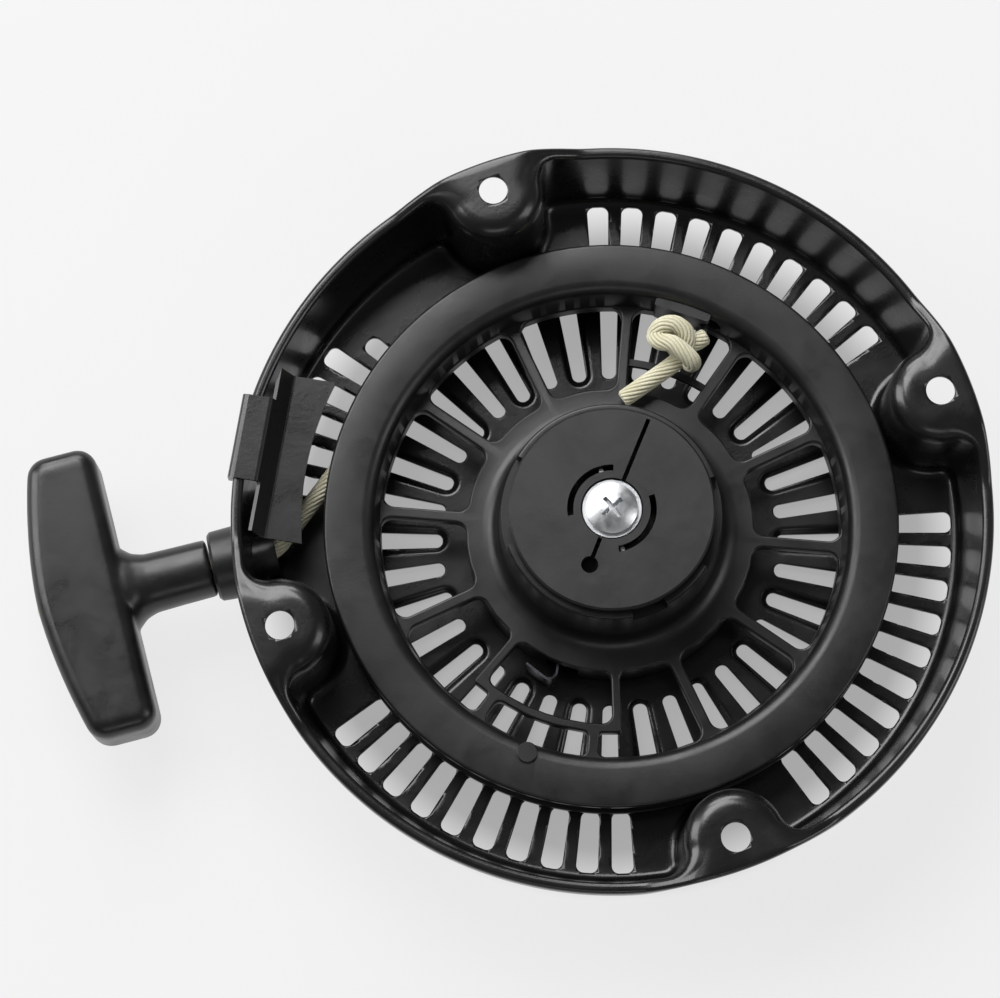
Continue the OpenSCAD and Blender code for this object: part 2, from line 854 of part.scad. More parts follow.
module handle_grip() {
    corners = [
        [grip_near + grip_round, grip_l / 2 - grip_round - 1],
        [grip_end - grip_round, grip_l / 2 - grip_round],
        [grip_mid - grip_round, 9]
    ];
    color([0.07, 0.07, 0.075])
        in_handle()
            difference() {
                union() {
                    hull()
                        for (c = corners)
                            for (x = [-1, 1])
                                for (y = [-1, 1])
                                    translate([c.x, x * c.y, y * (grip_t / 2 - grip_round)])
                                        sphere(r = grip_round, $fn = 32);
                    translate([0.9, 0, 0])
                        rotate([0, 90, 0])
                            cylinder(r = stem_r, h = grip_near + 6);
                    translate([grip_near - 4, 0, 0])
                        rotate([0, 90, 0])
                            cylinder(r1 = stem_r, r2 = stem_r + 2.4, h = 6);
                }
                rotate([0, 90, 0])
                    cylinder(r = rope_hole_r, h = grip_mid + 1);
                translate([knot_room_from, 0, 0])
                    rotate([0, 90, 0])
                        cylinder(r = knot_room_r, h = grip_mid);
            }
}

case();
center_post();
rope_guide();
rope_guard();
spiral_spring();
reel_drum();
reel_web();
reel_ring();
reel_hub();
ratchet_a();
ratchet_b();
friction_spring();
ratchet_guide();
screw_washer();
guide_screw();
rope_wound();
reel_knot();
rope_tail();
rope_run();
handle_rope();
handle_knot();
knot_washer();
handle_grip();
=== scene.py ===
"""Looks of the recoil starter: pressed steel cover, rope reel with its hub, rope, guard and T handle."""
import math

import bmesh
import bpy
import numpy as np
from mathutils import Matrix, Vector


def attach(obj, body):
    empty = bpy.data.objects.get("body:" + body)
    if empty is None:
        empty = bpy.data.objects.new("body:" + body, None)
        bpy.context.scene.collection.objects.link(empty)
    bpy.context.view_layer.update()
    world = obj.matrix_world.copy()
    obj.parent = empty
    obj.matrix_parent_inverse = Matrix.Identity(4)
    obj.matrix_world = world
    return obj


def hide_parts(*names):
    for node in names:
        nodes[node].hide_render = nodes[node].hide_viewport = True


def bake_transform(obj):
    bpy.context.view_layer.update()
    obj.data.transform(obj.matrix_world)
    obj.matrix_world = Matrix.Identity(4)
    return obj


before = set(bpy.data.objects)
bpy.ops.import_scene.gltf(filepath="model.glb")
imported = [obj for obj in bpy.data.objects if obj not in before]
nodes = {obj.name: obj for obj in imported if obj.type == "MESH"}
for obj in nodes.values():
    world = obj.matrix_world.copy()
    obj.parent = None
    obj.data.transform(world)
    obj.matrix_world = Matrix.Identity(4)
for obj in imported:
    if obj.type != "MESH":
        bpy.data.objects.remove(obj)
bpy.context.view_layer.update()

MM = 0.001


# ---------------------------------------------------------------- camera, light and floor
CAMERA_PLACE = (-15.908, -190.876, 879.827)
CAMERA_TILT = (0.21585, 0.01364, 0.004)
CAMERA_LENS = 126.73
FLOOR_Z = -44.7


def look_at(obj, target):
    obj.rotation_euler = (Vector(target) - obj.location).to_track_quat("-Z", "Y").to_euler()


def add_camera():
    data = bpy.data.cameras.new("camera")
    data.lens = CAMERA_LENS
    data.sensor_width = 36.0
    data.clip_start = 0.05
    data.clip_end = 20.0
    camera = bpy.data.objects.new("camera", data)
    bpy.context.collection.objects.link(camera)
    tilt_x, tilt_y, tilt_z = CAMERA_TILT
    turn = Matrix.Rotation(tilt_z, 4, "Z") @ Matrix.Rotation(tilt_y, 4, "Y") @ Matrix.Rotation(tilt_x, 4, "X")
    camera.matrix_world = Matrix.Translation(Vector(CAMERA_PLACE) * MM) @ turn
    bpy.context.scene.camera = camera


def add_area(name, place, size, power):
    """A soft white light that faces the middle of the cover."""
    data = bpy.data.lights.new(name, "AREA")
    data.shape = "RECTANGLE"
    data.size, data.size_y = size
    data.energy = power
    light = bpy.data.objects.new(name, data)
    bpy.context.collection.objects.link(light)
    light.location = place
    look_at(light, (0, 0, 0))


def add_world(strength):
    world = bpy.data.worlds.new("studio")
    bpy.context.scene.world = world
    world.use_nodes = True
    background = world.node_tree.nodes["Background"]
    background.inputs["Color"].default_value = (1.0, 1.0, 1.0, 1.0)
    background.inputs["Strength"].default_value = strength


# ---------------------------------------------------------------- materials
class Shader:
    """A principled material and short calls for the nodes that feed it."""

    def __init__(self, name):
        self.mat = bpy.data.materials.new(name)
        self.mat.use_nodes = True
        self.tree = self.mat.node_tree
        self.bsdf = self.tree.nodes["Principled BSDF"]
        self.coords = self.tree.nodes.new("ShaderNodeTexCoord").outputs["Object"]

    def set(self, **values):
        for key, value in values.items():
            self.bsdf.inputs[key.replace("_", " ")].default_value = value
        return self

    def link(self, source, socket):
        self.tree.links.new(source, socket)

    def noise(self, scale, detail=4.0, rough=0.5, distort=0.0):
        node = self.tree.nodes.new("ShaderNodeTexNoise")
        node.inputs["Scale"].default_value = scale
        node.inputs["Detail"].default_value = detail
        node.inputs["Roughness"].default_value = rough
        node.inputs["Distortion"].default_value = distort
        self.link(self.coords, node.inputs["Vector"])
        return node.outputs["Fac"]

    def ramp(self, fac, *stops):
        """A colour ramp; each stop is (place, grey or colour)."""
        node = self.tree.nodes.new("ShaderNodeValToRGB")
        while len(node.color_ramp.elements) < len(stops):
            node.color_ramp.elements.new(0.5)
        for element, (place, colour) in zip(node.color_ramp.elements, stops):
            element.position = place
            colour = (colour,) * 3 if isinstance(colour, (int, float)) else colour
            element.color = (*colour, 1.0)
        self.link(fac, node.inputs["Fac"])
        return node.outputs["Color"]

    def math(self, operation, a, b):
        node = self.tree.nodes.new("ShaderNodeMath")
        node.operation = operation
        for socket, value in zip(node.inputs, (a, b)):
            if isinstance(value, (int, float)):
                socket.default_value = value
            else:
                self.link(value, socket)
        return node.outputs["Value"]

    def mix(self, fac, a, b):
        node = self.tree.nodes.new("ShaderNodeMix")
        node.data_type = "RGBA"
        self.link(fac, node.inputs["Factor"])
        for name, value in (("A", a), ("B", b)):
            socket = [s for s in node.inputs if s.name == name and s.type == "RGBA"][0]
            if isinstance(value, tuple):
                socket.default_value = (*value, 1.0)
            else:
                self.link(value, socket)
        return [s for s in node.outputs if s.type == "RGBA"][0]

    def geometry(self, output):
        return self.tree.nodes.new("ShaderNodeNewGeometry").outputs[output]

    def bump(self, height, strength, distance):
        node = self.tree.nodes.new("ShaderNodeBump")
        node.inputs["Strength"].default_value = strength
        node.inputs["Distance"].default_value = distance
        self.link(height, node.inputs["Height"])
        previous = self.bsdf.inputs["Normal"]
        if previous.is_linked:
            self.link(previous.links[0].from_socket, node.inputs["Normal"])
        self.link(node.outputs["Normal"], previous)
        return self

    def colour(self, source):
        self.link(source, self.bsdf.inputs["Base Color"])
        return self

    def roughness(self, source):
        self.link(source, self.bsdf.inputs["Roughness"])
        return self


def paint(name, dark, light, rough_low, rough_high):
    """Gloss black paint over sheet steel, with orange peel, dust and rubbed patches."""
    s = Shader(name)
    patches = s.noise(22.0, 5.0, 0.55, 0.4)
    s.colour(s.ramp(patches, (0.35, dark), (0.75, light)))
    smears = s.noise(70.0, 6.0, 0.6, 0.8)
    s.roughness(s.ramp(smears, (0.3, rough_low), (0.75, rough_high)))
    s.bump(s.noise(900.0, 2.0), 0.12, 0.0002)
    s.bump(s.noise(60.0, 3.0), 0.10, 0.001)
    s.set(Coat_Weight=0.25, Coat_Roughness=0.12)
    return s.mat


def moulded(name, dark, light, rough_low, rough_high, grain=1400.0, peel=0.15):
    """Black nylon with flow marks, scuffs and a fine moulded grain."""
    s = Shader(name)
    flow = s.noise(55.0, 6.0, 0.6, 1.2)
    scuffs = s.noise(420.0, 3.0, 0.6, 0.0)
    s.colour(s.mix(s.ramp(scuffs, (0.55, 0.0), (0.8, 0.35)), s.ramp(flow, (0.3, dark), (0.75, light)), light))
    s.roughness(s.ramp(s.noise(90.0, 5.0, 0.6, 0.6), (0.3, rough_low), (0.72, rough_high)))
    s.bump(s.noise(grain, 2.0), peel, 0.0001)
    s.bump(s.noise(180.0, 3.0), 0.12, 0.0003)
    return s.mat


def metal(name, colour, dull, rough_low, rough_high):
    """Zinc-plated or bright steel with fine scratches and dull patches."""
    s = Shader(name)
    s.set(Metallic=1.0)
    s.colour(s.ramp(s.noise(160.0, 5.0, 0.6, 0.5), (0.3, dull), (0.7, colour)))
    s.roughness(s.ramp(s.noise(500.0, 4.0, 0.6, 0.0), (0.3, rough_low), (0.75, rough_high)))
    s.bump(s.noise(1600.0, 2.0, 0.5, 0.0), 0.15, 0.0001)
    return s.mat


def rope_fibre(name):
    """Cream polyester yarn: fine fibres, soiled in patches, with painted shade in the grooves between the
    strands.
    """
    s = Shader(name)
    soil = s.noise(120.0, 5.0, 0.6, 0.5)
    fibres = s.noise(2600.0, 3.0, 0.6, 0.0)
    clean = s.ramp(soil, (0.3, (0.56, 0.53, 0.36)), (0.65, (0.84, 0.82, 0.68)))
    worn = s.mix(s.ramp(fibres, (0.35, 0.0), (0.7, 1.0)), (0.56, 0.53, 0.37), clean)
    # Painted shade: where Pointiness is low, in the grooves between the strands, the colour is darkened
    # towards (0.27, 0.25, 0.15).
    painted_groove_shade = s.ramp(s.geometry("Pointiness"), (0.42, 0.0), (0.52, 1.0))
    s.colour(s.mix(painted_groove_shade, (0.27, 0.25, 0.15), worn))
    s.set(Roughness=0.62, Sheen_Weight=0.25, Sheen_Roughness=0.4)
    s.bump(fibres, 0.5, 0.0002)
    return s.mat


def floor_with_painted_shadow(name):
    """Pale paper that glows evenly, with a painted shadow: its glow is dimmer in a disc under the cover."""
    s = Shader(name)
    s.colour(s.ramp(s.noise(3.0, 2.0), (0.3, 0.10), (0.7, 0.11)))
    place = s.tree.nodes.new("ShaderNodeVectorMath")
    place.operation = "LENGTH"
    s.link(s.coords, place.inputs[0])
    per_metre = 5.0
    # Painted shadow: the floor's glow is dimmer inside about 94 mm of the middle, under the cover, and ramps
    # up to the even paper glow by 106 mm.
    painted_shadow_ends, paper_starts = 0.094 * per_metre, 0.106 * per_metre
    away = s.math("MULTIPLY", place.outputs["Value"], per_metre)
    glow_with_painted_shadow = s.ramp(away, (painted_shadow_ends, 0.38), (paper_starts, 0.77))
    s.link(glow_with_painted_shadow, s.bsdf.inputs["Emission Color"])
    s.set(Roughness=0.9, Specular_IOR_Level=0.0, Emission_Strength=1.0)
    return s.mat


# ---------------------------------------------------------------- mesh helpers
def mesh_object(name, verts, faces, mat, smooth_angle=35.0):
    """An object from points in millimetres."""
    mesh = bpy.data.meshes.new(name)
    mesh.from_pydata([tuple(v) for v in np.asarray(verts, float) * MM], [], [tuple(f) for f in faces])
    mesh.validate()
    obj = bpy.data.objects.new(name, mesh)
    bpy.context.collection.objects.link(obj)
    mesh.materials.append(mat)
    shade(obj, smooth_angle)
    return obj


def shade(obj, smooth_angle):
    """Smooth shading, with edges sharper than the angle left sharp."""
    obj.data.shade_smooth()
    obj.data.set_sharp_from_angle(angle=math.radians(smooth_angle))


def grid_faces(rows, cols, wrap=True, first=0):
    """Quads between successive rows of cols points each."""
    faces = []
    for i in range(rows - 1):
        for j in range(cols if wrap else cols - 1):
            a = first + i * cols + j
            b = first + i * cols + (j + 1) % cols
            faces.append((a, b, b + cols, a + cols))
    return faces


def apply_modifiers(obj):
    """Puts what the modifiers make into the mesh itself."""
    bpy.context.view_layer.update()
    evaluated = obj.evaluated_get(bpy.context.evaluated_depsgraph_get())
    mesh = bpy.data.meshes.new_from_object(evaluated)
    old = obj.data
    obj.modifiers.clear()
    obj.data = mesh
    bpy.data.meshes.remove(old)


def cut(obj, cutter, operation="DIFFERENCE"):
    """A boolean with a closed cutter that faces outwards; the cutter is used up."""
    modifier = obj.modifiers.new("cut", "BOOLEAN")
    modifier.operation = operation
    modifier.solver = "MANIFOLD"
    modifier.object = cutter
    apply_modifiers(obj)
    bpy.data.objects.remove(cutter)


def prisms(name, outlines, mat):
    """One object of upright prisms; each is (points, low z, high z)."""
    verts, faces = [], []
    for points, low, high in outlines:
        n, first = len(points), len(verts)
        verts += [(x, y, low) for x, y in points] + [(x, y, high) for x, y in points]
        faces.append(tuple(first + k for k in reversed(range(n))))
        faces.append(tuple(first + n + k for k in range(n)))
        for k in range(n):
            a, b = first + k, first + (k + 1) % n
            faces.append((a, b, b + n, a + n))
    return mesh_object(name, verts, faces, mat)


def polar(r, angle):
    a = math.radians(angle)
    return np.array([r * math.cos(a), r * math.sin(a)])


def rounded(corners, steps=6):
    """A closed outline through corners (x, y, radius), each rounded by its radius."""
    points = []
    count = len(corners)
    for k, (x, y, r) in enumerate(corners):
        if r <= 0:
            points.append(np.array([x, y]))
            continue
        before = np.array(corners[k - 1][:2]) - (x, y)
        after = np.array(corners[(k + 1) % count][:2]) - (x, y)
        before, after = before / np.linalg.norm(before), after / np.linalg.norm(after)
        half = math.acos(np.clip(before @ after, -1, 1)) / 2
        bisector = (before + after) / np.linalg.norm(before + after)
        centre = np.array([x, y]) + bisector * r / math.sin(half)
        start = np.array([x, y]) + before * r / math.tan(half) - centre
        end = np.array([x, y]) + after * r / math.tan(half) - centre
        a0 = math.atan2(start[1], start[0])
        sweep = (math.atan2(end[1], end[0]) - a0 + math.pi) % (2 * math.pi) - math.pi
        for i in range(steps + 1):
            a = a0 + sweep * i / steps
            points.append(centre + r * np.array([math.cos(a), math.sin(a)]))
    return np.array(points)


def rotated(points, angle):
    c, s = math.cos(math.radians(angle)), math.sin(math.radians(angle))
    return np.asarray(points) @ np.array([[c, s], [-s, c]])


def slot_outline(near, far, near_w, far_w, near_r, far_r, angle):
    """A radial slot with rounded corners, wider at its outer end."""
    corners = [(near, -near_w / 2, near_r), (far, -far_w / 2, far_r),
               (far, far_w / 2, far_r), (near, near_w / 2, near_r)]
    return rotated(rounded(corners), angle)


def grown(outline, by):
    """An outline moved outward by a distance."""
    outline = np.asarray(outline)
    along = np.roll(outline, -1, 0) - np.roll(outline, 1, 0)
    normal = np.stack([along[:, 1], -along[:, 0]], 1)
    normal /= np.linalg.norm(normal, axis=1, keepdims=True)
    x, y = outline[:, 0], outline[:, 1]
    turn = np.sign(np.sum(x * np.roll(y, -1) - np.roll(x, -1) * y))
    return outline + normal * by * turn


def ring_arc(r, a0, a1, steps=8):
    return [polar(r, a0 + (a1 - a0) * i / steps) for i in range(steps + 1)]


def ring_sector(inner, outer, a0, a1, steps):
    """The outline of a piece of a ring, counter-clockwise, so that its prism faces outwards."""
    return ring_arc(outer, a0, a1, steps) + ring_arc(inner, a1, a0, steps)


def fillet_profile(points, radii, steps=5):
    """A closed (radius, height) profile with its corners rounded."""
    return rounded([(x, y, r) for (x, y), r in zip(points, radii)], steps)


def revolved(name, profile, mat, segments=288, angle=40.0):
    """A solid of revolution from a closed profile that stays off the axis."""
    turn = np.linspace(0, 2 * math.pi, segments, endpoint=False)
    profile = np.asarray(profile)
    x, z = profile[:, 0], profile[:, 1]
    if np.sum(x * np.roll(z, -1) - np.roll(x, -1) * z) < 0:
        profile = profile[::-1]
    ring = np.stack([profile[:, :1] * np.cos(turn), profile[:, :1] * np.sin(turn),
                     np.repeat(profile[:, 1:], segments, 1)], 2)
    count = len(profile)
    faces = []
    for i in range(count):
        for j in range(segments):
            a, b = i * segments + j, i * segments + (j + 1) % segments
            c, d = ((i + 1) % count) * segments + (j + 1) % segments, ((i + 1) % count) * segments + j
            faces.append((a, b, c, d))
    return mesh_object(name, ring.reshape(-1, 3), faces, mat, angle)


def lofted(name, rings, mat, angle=40.0):
    """A closed solid through rings of equal length, capped at both ends."""
    rings = np.asarray(rings)
    rows, cols = rings.shape[:2]
    faces = grid_faces(rows, cols)
    faces.append(tuple(reversed(range(cols))))
    faces.append(tuple((rows - 1) * cols + k for k in range(cols)))
    return mesh_object(name, rings.reshape(-1, 3), faces, mat, angle)


def at_height(outline, z):
    return np.column_stack([outline, np.full(len(outline), z)])


def join_meshes(objects):
    """Adds the other objects' meshes to the first, without a boolean."""
    base = bmesh.new()
    for obj in objects:
        base.from_mesh(obj.data)
    base.to_mesh(objects[0].data)
    base.free()
    for obj in objects[1:]:
        bpy.data.objects.remove(obj)
    return objects[0]


def smoothstep(x):
    x = np.clip(x, 0.0, 1.0)
    return x * x * (3 - 2 * x)


def thick_sheet(grid, thickness):
    """A closed sheet under the rows of points in grid, whose columns close on themselves."""
    rows, cols = grid.shape[:2]
    along = np.gradient(grid, axis=0)
    around = np.roll(grid, -1, axis=1) - np.roll(grid, 1, axis=1)
    normal = np.cross(along, around)
    normal /= np.maximum(np.linalg.norm(normal, axis=2, keepdims=True), 1e-9)
    under = grid - normal * thickness
    verts = np.concatenate([grid.reshape(-1, 3), under.reshape(-1, 3)])
    shift = rows * cols
    top = grid_faces(rows, cols)
    faces = top + [tuple(v + shift for v in face[::-1]) for face in top]
    for j in range(cols):
        k = (j + 1) % cols
        faces.append((k, j, j + shift, k + shift))
        a, b = (rows - 1) * cols + j, (rows - 1) * cols + k
        faces.append((a, b, b + shift, a + shift))
    return verts, faces


# ---------------------------------------------------------------- cover
EARS = (20.0, 110.0, 200.0, 290.0)
BOLT_R = 90.0
HOLE_R = 3.75
RIM_R = 98.3
SHEET = 1.2
RIM_Z = -6.0
VENT_Z = -33.0
NOSE_Z = -42.5
WALL_R = 92.5
BOSS_R = 13.5
CORNER_R = 4.0
FOOT_R = 2.4
LIP_R = 1.2
LIP_DROP = 4.2
STEP_FOOT = 66.9
STEP_TOP = 72.6
VENT_PITCH = 6
VENT_GROUPS = (65, 245, 335)
SHORT_GROUP = 147
SHORT_VENT = 141


def draft_and_bend(plain):
    """How far the wall leans out and the radius of its top bend, from a boss (0) to the plain wall (1)."""
    return 0.6 + 2.2 * plain, 5.2 - 3.9 * plain


def edge_angle(point, out, plain):
    """Angle at which a column of the wall reaches the flat top."""
    x, y = point + sum(draft_and_bend(plain)) * out
    return math.degrees(math.atan2(y, x))


def ear_columns():
    """Columns of the pressed sheet over half an ear's sector, from the ear's middle line to 45 degrees.
    Each has its wall point and outward normal, angles on the step and on the rim, and how far it is
    from the boss (0) to the plain wall (1)."""
    hole = np.array([BOLT_R, 0.0])
    far = WALL_R - CORNER_R
    near = BOSS_R + CORNER_R
    turn = math.degrees(math.acos((far ** 2 + BOLT_R ** 2 - near ** 2) / (2 * far * BOLT_R)))
    fillet = polar(far, turn)
    end_dir = math.degrees(math.atan2(*(fillet - hole)[::-1]))
    columns = []
    join = polar(1.0, end_dir)
    boss_end = edge_angle(hole + BOSS_R * join, -join, 0.0)
    boss_steps, fillet_steps, wall_steps = 26, 14, 60
    for i in range(boss_steps):
        q = i / boss_steps
        out = polar(1.0, 180 + (end_dir - 180) * q)
        columns.append((hole + BOSS_R * out, -out, 10.5 * q, boss_end * q, 0.0))
    for i in range(fillet_steps):
        q = i / fillet_steps
        out = polar(1.0, end_dir - 180 + (turn - end_dir + 180) * q)
        plain = float(smoothstep(q))
        columns.append((fillet + CORNER_R * out, out, 10.5 + 2.5 * q,
                        edge_angle(fillet + CORNER_R * out, out, plain), plain))
    for i in range(wall_steps + 1):
        q = i / wall_steps
        angle = turn + (45.0 - turn) * q
        columns.append((polar(WALL_R, angle), polar(1.0, angle), 13.0 + 32.0 * q, angle, 1.0))
    return columns


def top_height(x, y):
    """Height of the top of the sheet near an ear at angle 0: flat pad, sloping webs, then the rim."""
    fold = 7.7 + np.maximum(x - BOLT_R, 0.0) * 0.62
    run = 15.5
    q = (np.abs(y) - fold) / run
    soft = 0.07
    q = soft * (np.logaddexp(0, q / soft) - np.logaddexp(0, (q - 1) / soft))
    return RIM_Z * q


def sunk_border(x, y):
    """How far the nose dips round every second inner vent."""
    angle = np.degrees(np.arctan2(y, x))
    nearest = np.radians(np.round(angle / 20.0) * 20.0)
    along = x * np.cos(nearest) + y * np.sin(nearest)
    across = np.abs(-x * np.sin(nearest) + y * np.cos(nearest))
    half = 1.85 + (along - 44.6) * 0.045
    away = np.where(along > 46.5, across - half, np.hypot(along - 46.5, across) - 1.9)
    return 1.0 - smoothstep(away / 1.7)


def pressed_cover(mat):
    half = ear_columns()
    flip = np.array([1.0, -1.0])
    sector = [(p * flip, n * flip, -f, -s, w) for p, n, f, s, w in half[:0:-1]] + half[:-1]
    rows = []

    def add_row(make):
        row = []
        for ear in EARS:
            c, s = math.cos(math.radians(ear)), math.sin(math.radians(ear))
            for column in sector:
                x, y, z = make(column)
                row.append((c * x - s * y, s * x + c * y, z))
        rows.append(row)

    # nose, step and floor, on circles
    radii = [4.0, 8.0, 14.0, 22.0, 32.0, 38.0, 41.0] + list(np.arange(42.0, 66.6, 0.55))
    for r in radii:
        add_row(lambda c, r=r: (*polar(r, c[2]), NOSE_Z))
    bend, lean = 2.6, 62.0
    for a in np.linspace(0, lean, 6)[1:]:
        add_row(lambda c, a=a: (*polar(STEP_FOOT + bend * math.sin(math.radians(a)), c[2]),
                                NOSE_Z + bend * (1 - math.cos(math.radians(a)))))
    for a in np.linspace(lean, 0, 6):
        add_row(lambda c, a=a: (*polar(STEP_TOP - bend * math.sin(math.radians(a)), c[2]),
                                VENT_Z - bend * (1 - math.cos(math.radians(a)))))
    first_plan = len(rows)

    def at_wall(c, t):
        return c[0] + c[1] * t

    for q in np.linspace(0, 1, 9)[1:-1]:
        add_row(lambda c, q=q: (*(polar(STEP_TOP, c[2]) * (1 - q) + at_wall(c, -FOOT_R) * q), VENT_Z))
    for a in np.linspace(0, 90, 7):
        sin_a, cos_a = math.sin(math.radians(a)), math.cos(math.radians(a))
        add_row(lambda c, s=sin_a, k=cos_a: (*at_wall(c, FOOT_R * (s - 1)), VENT_Z + FOOT_R * (1 - k)))

    def shape(c):
        """Draft and top bend radius of a column, and the height of its top edge."""
        draft, bend_r = draft_and_bend(c[4])
        top = at_wall(c, draft + bend_r)
        return draft, bend_r, float(top_height(*top))

    def wall(c, q):
        draft, bend_r, top = shape(c)
        low = VENT_Z + FOOT_R
        return (*at_wall(c, draft * q), low + (top - bend_r - low) * q)

    for q in np.linspace(0, 1, 10)[1:-1]:
        add_row(lambda c, q=q: wall(c, q))

    def shoulder(c, a):
        draft, bend_r, top = shape(c)
        p = at_wall(c, draft + bend_r * (1 - math.cos(a)))
        return (*p, top - bend_r * (1 - math.sin(a)))

    for a in np.radians(np.linspace(0, 90, 8)):
        add_row(lambda c, a=a: shoulder(c, a))

    edge_r = RIM_R - LIP_R

    def flange(c, q):
        draft, bend_r, _ = shape(c)
        p = at_wall(c, draft + bend_r) * (1 - q) + polar(edge_r, c[3]) * q
        return (*p, float(top_height(*p)))

    for q in np.linspace(0, 1, 10)[1:]:
        add_row(lambda c, q=q: flange(c, q))

    def lip(c, a, down):
        p = polar(edge_r + LIP_R * math.sin(a), c[3])
        top = float(top_height(*p))
        full = smoothstep((abs(c[3]) - 8.0) / 8.0)
        return (*p, top - LIP_R * (1 - math.cos(a)) - down * (0.15 + (LIP_DROP - 1.35) * full))

    for a in np.radians(np.linspace(0, 90, 5)[1:]):
        add_row(lambda c, a=a: lip(c, a, 0.0))
    for q in (0.5, 1.0):
        add_row(lambda c, q=q: lip(c, math.pi / 2, q))

    verts = np.array(rows)
    nose = verts[:first_plan]
    x, y = nose[..., 0], nose[..., 1]
    nose[..., 2] -= np.where(np.hypot(x, y) < 67.5, sunk_border(x, y), 0.0)
    shell = mesh_object("cover", *thick_sheet(verts, SHEET), mat, 50.0)

    outer = [middle + (i - 4.5) * VENT_PITCH for middle in VENT_GROUPS for i in range(10)]
    outer += [SHORT_GROUP + VENT_PITCH * i for i in range(5)]
    low, high = VENT_Z - 3, VENT_Z + 3
    slots = [(slot_outline(74, 90.2, 4.7, 5.8, 2.2, 1.9, a), low, high) for a in outer]
    slots.append((slot_outline(74, 83.5, 4.7, 5.2, 2.2, 2.4, SHORT_VENT), low, high))
    low, high = NOSE_Z - 5, NOSE_Z + 3
    slots += [(slot_outline(44.6, 65.4, 3.7, 4.8, 1.75, 1.8, a), low, high) for a in range(0, 360, 10)]
    circle = [polar(HOLE_R, 7.5 * k) for k in range(48)]
    slots += [([polar(BOLT_R, ear) + p for p in circle], -4.0, 3.0) for ear in EARS]
    cut(shell, prisms("vents", slots, mat))
    return shell


# ---------------------------------------------------------------- rope reel
WEB_Z = -27.5
WEB_LOW = -31.2
DRUM_IN = 60.6
HUB_OUT = 38.0
SPOKES = [25.4 + 30 * k for k in range(12)]
FLOOR_TO_RIM = 5.2
RATCHET_WINDOWS = ((-31, 19, FLOOR_TO_RIM), (149, 199, FLOOR_TO_RIM))
HUB_NOTCH = (281, 300, 3.4)
PIN_ANGLES = (-50, 130)
PIN_ORBIT = 17
PIN_R = 2.42  # a little under the bore of the ratchets that swing on it
SPRING_NOTCH = (243.6, 257)
ROPE_HOLE = 64


def pocket(inner, outer, left, right, corner=3.0):
    """An opening of the web between two radial bars, from (radius, bar angle, bar half width) edges."""
    def edge(r, bar, side):
        angle, half = bar
        return angle + side * math.degrees(math.asin(half / r))

    a0, a1 = edge(inner, left, 1), edge(inner, right, -1)
    b0, b1 = edge(outer, left, 1), edge(outer, right, -1)
    corners = [(*polar(inner, a0), corner)]
    corners += [(*polar(outer, b0), corner)]
    corners += [(*polar(outer, b0 + (b1 - b0) * q), 0) for q in (0.2, 0.35, 0.5, 0.65, 0.8)]
    corners += [(*polar(outer, b1), corner)]
    corners += [(*polar(inner, a1), corner)]
    corners += [(*polar(inner, a0 + (a1 - a0) * q), 0) for q in (0.65, 0.5, 0.35)]
    return rounded(corners)


def web_pockets():
    bar = 1.45
    pockets = []
    for k in range(12):
        left, right = SPOKES[k], SPOKES[k] + 30
        if 205 < left < 290:
            continue
        pockets.append(pocket(HUB_OUT, DRUM_IN, (left, bar), (right, bar)))
    leg_a, leg_b = 229.7, 271.8
    short_a, short_b = 235.4, 265.4
    low, high = 51.8, 54.2
    pockets.append(pocket(HUB_OUT, low, (leg_a, 1.2), (leg_b, 1.2), 2.5))
    pockets.append(pocket(high, DRUM_IN, (short_a, bar), (short_b, bar), 1.8))
    for spoke, leg, short, side in ((205.4, leg_a, short_a, 1), (295.4, leg_b, short_b, -1)):
        def edge(r, angle, half, way):
            return polar(r, angle + way * side * math.degrees(math.asin(half / r)))
        corners = [
            (*edge(HUB_OUT, spoke, bar, 1), 3.0), (*edge(DRUM_IN, spoke, bar, 1), 3.0),
            (*polar(DRUM_IN, spoke + side * 10), 0), (*polar(DRUM_IN, spoke + side * 15), 0),
            (*polar(DRUM_IN, spoke + side * 20), 0), (*edge(DRUM_IN, short, bar, -1), 2.0),
            (*edge(high, short, bar, -1), 0.8), (*edge(high, leg, 1.2, -1), 1.0),
            (*edge(HUB_OUT, leg, 1.2, -1), 2.5), (*polar(HUB_OUT, spoke + side * 12), 0),
        ]
        outline = rounded(corners)
        pockets.append(outline if side > 0 else outline[::-1])
    return pockets


def rounded_cut(name, outlines, top, low, lip, mat):
    """Cutters for openings whose upper edge is rounded by lip."""
    cutters = []
    for outline in outlines:
        rings = [at_height(outline, low)]
        for a in np.radians([0, 30, 60, 85]):
            rings.append(at_height(grown(outline, lip * (1 - math.cos(a))), top - lip * (1 - math.sin(a))))
        rings.append(at_height(grown(outline, lip), top + 0.5))
        x, y = np.asarray(outline)[:, 0], np.asarray(outline)[:, 1]
        if np.sum(x * np.roll(y, -1) - np.roll(x, -1) * y) < 0:
            rings = [ring[::-1] for ring in rings]
        cutters.append(lofted(name, rings, mat))
    return join_meshes(cutters)


def box_solid(name, mat, size, centre, angle):
    """A block turned about the reel's axis; centre is (radius, height)."""
    x, y, z = (v / 2 for v in size)
    outline = rounded([(-x, -y, 0.5), (x, -y, 0.5), (x, y, 0.5), (-x, y, 0.5)], 3)
    outline = rotated(outline + (centre[0], 0), angle)
    return lofted(name, [at_height(outline, centre[1] - z), at_height(outline, centre[1] + z)], mat)


